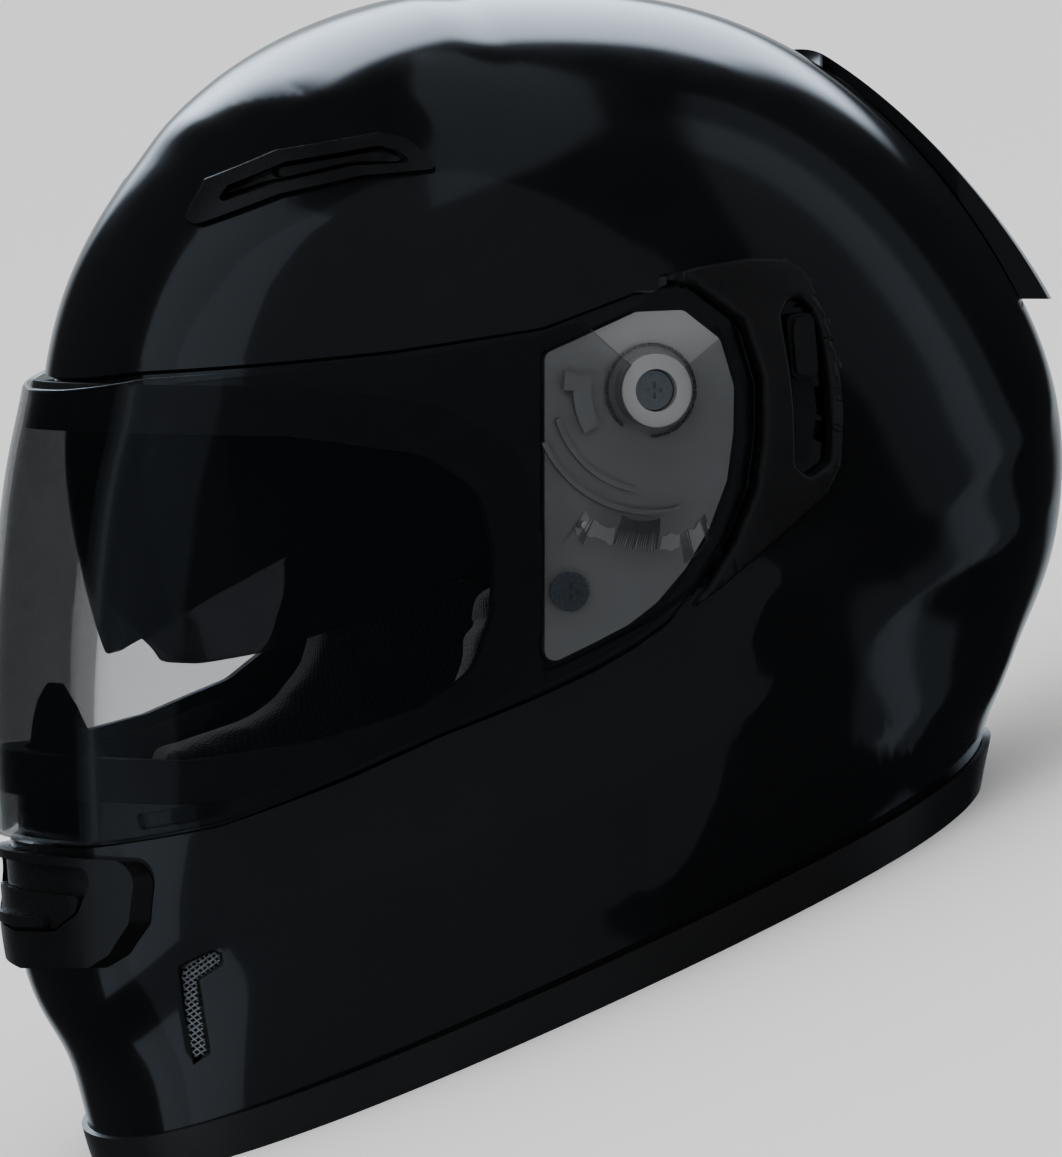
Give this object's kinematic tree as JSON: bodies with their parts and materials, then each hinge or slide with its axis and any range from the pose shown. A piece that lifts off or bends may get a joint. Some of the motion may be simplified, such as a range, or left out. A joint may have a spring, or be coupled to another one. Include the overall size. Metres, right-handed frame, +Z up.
{
  "type": "motorcycle helmet",
  "caption": "Full-face road helmet standing on its bottom edge, with a clear lifting visor, a dark drop-down sun shade, sliding vents and a chin strap.",
  "frame": {"origin": "under the middle of the box round the helmet, on the surface that its bottom edge stands on", "axes": "+X to the wearer's left, -Y the way the visor faces, +Z up"},
  "size_m": [0.2492, 0.3464, 0.2687],
  "materials": {
    "shell": "gloss black lacquer",
    "trim": "satin black",
    "gasket": "matte black",
    "pod": "gloss black",
    "satin_plastic": "satin black",
    "plate": "satin dark grey",
    "steel": "bright zinc",
    "mesh": "bright wire",
    "visor_clear": "clear, gloss",
    "shade_smoke": "dark smoke, gloss",
    "foam": "moulded foam, black",
    "lining": "brushed knit, dark grey",
    "webbing": "woven webbing, black"
  },
  "bodies": {
    "helmet": {"outer_shell": "shell", "bottom_edge_trim": "trim", "eye_port_gasket": "gasket", "chin_vent_frame": "satin_plastic", "brow_vent_frame_left": "satin_plastic", "brow_vent_frame_right": "satin_plastic", "brow_vent_mesh_left": "mesh", "brow_vent_mesh_right": "mesh", "jaw_vent_mesh_left": "mesh", "jaw_vent_mesh_right": "mesh", "rear_spoiler": "pod", "rear_exhaust_mesh": "mesh", "side_pod_left": "pod", "side_pod_right": "pod", "visor_base_plate_left": "plate", "visor_base_plate_right": "plate", "base_plate_screws_left": "steel", "base_plate_screws_right": "steel", "base_plate_nuts_left": "steel", "base_plate_nuts_right": "steel", "release_spring_left": "steel", "release_spring_right": "steel", "sun_shade_pin_left": "steel", "sun_shade_pin_right": "steel", "sun_shade_rail": "satin_plastic", "crown_foam": "foam", "crown_liner": "lining", "neck_roll": "lining", "chin_foam": "foam", "cheek_pad_left": "lining", "cheek_pad_right": "lining", "cheek_plate_left": "satin_plastic", "cheek_plate_right": "satin_plastic", "chin_curtain": "webbing", "breath_guard": "gasket", "chin_strap_short": "webbing", "chin_strap_long": "webbing", "d_ring_lower": "steel", "d_ring_upper": "steel", "strap_snap": "steel"},
    "visor": {"visor": "visor_clear"},
    "sun_shade": {"sun_shade": "shade_smoke"},
    "shade_slider": {"sun_shade_slider": "satin_plastic"},
    "chin_flap": {"chin_vent_flap": "satin_plastic"},
    "brow_slider_left": {"brow_vent_slider_left": "satin_plastic"},
    "brow_slider_right": {"brow_vent_slider_right": "satin_plastic"},
    "release_lever_left": {"release_lever_left": "plate"},
    "release_lever_right": {"release_lever_right": "plate"}
  },
  "joints": [
    {"name": "visor_hinge", "type": "hinge", "parent": "helmet", "child": "visor", "pos_m": [0, 0.03184, 0.1514], "axis": [-1, 0, 0], "range_deg": [0, 48]},
    {"name": "sun_shade_hinge", "type": "hinge", "parent": "helmet", "child": "sun_shade", "pos_m": [0, 0.0172, 0.11851], "axis": [-1, 0, 0], "range_deg": [0, 33]},
    {"name": "shade_slider_slide", "type": "slide", "parent": "helmet", "child": "shade_slider", "axis": [0, -0.3173, -0.9483], "range_m": [0, 0.021]},
    {"name": "chin_flap_slide", "type": "slide", "parent": "helmet", "child": "chin_flap", "axis": [0, 0.3295, 0.9442], "range_m": [0, 0.006]},
    {"name": "brow_slide_left", "type": "slide", "parent": "helmet", "child": "brow_slider_left", "axis": [-0.6306, -0.7678, 0.1132], "range_m": [0, 0.0035]},
    {"name": "brow_slide_right", "type": "slide", "parent": "helmet", "child": "brow_slider_right", "axis": [0.6306, -0.7678, 0.1132], "range_m": [0, 0.0035]},
    {"name": "release_left", "type": "hinge", "parent": "helmet", "child": "release_lever_left", "pos_m": [0.118, 0.03184, 0.1514], "axis": [-1, 0, 0], "range_deg": [0, 12], "stiffness_Nm_per_rad": 0.02},
    {"name": "release_right", "type": "hinge", "parent": "helmet", "child": "release_lever_right", "pos_m": [-0.118, 0.03184, 0.1514], "axis": [-1, 0, 0], "range_deg": [0, 12], "stiffness_Nm_per_rad": 0.02}
  ],
  "couplings": [
    {"joint": "shade_slider_slide", "follows": "sun_shade_hinge", "m_per_rad": 0.0364}
  ]
}
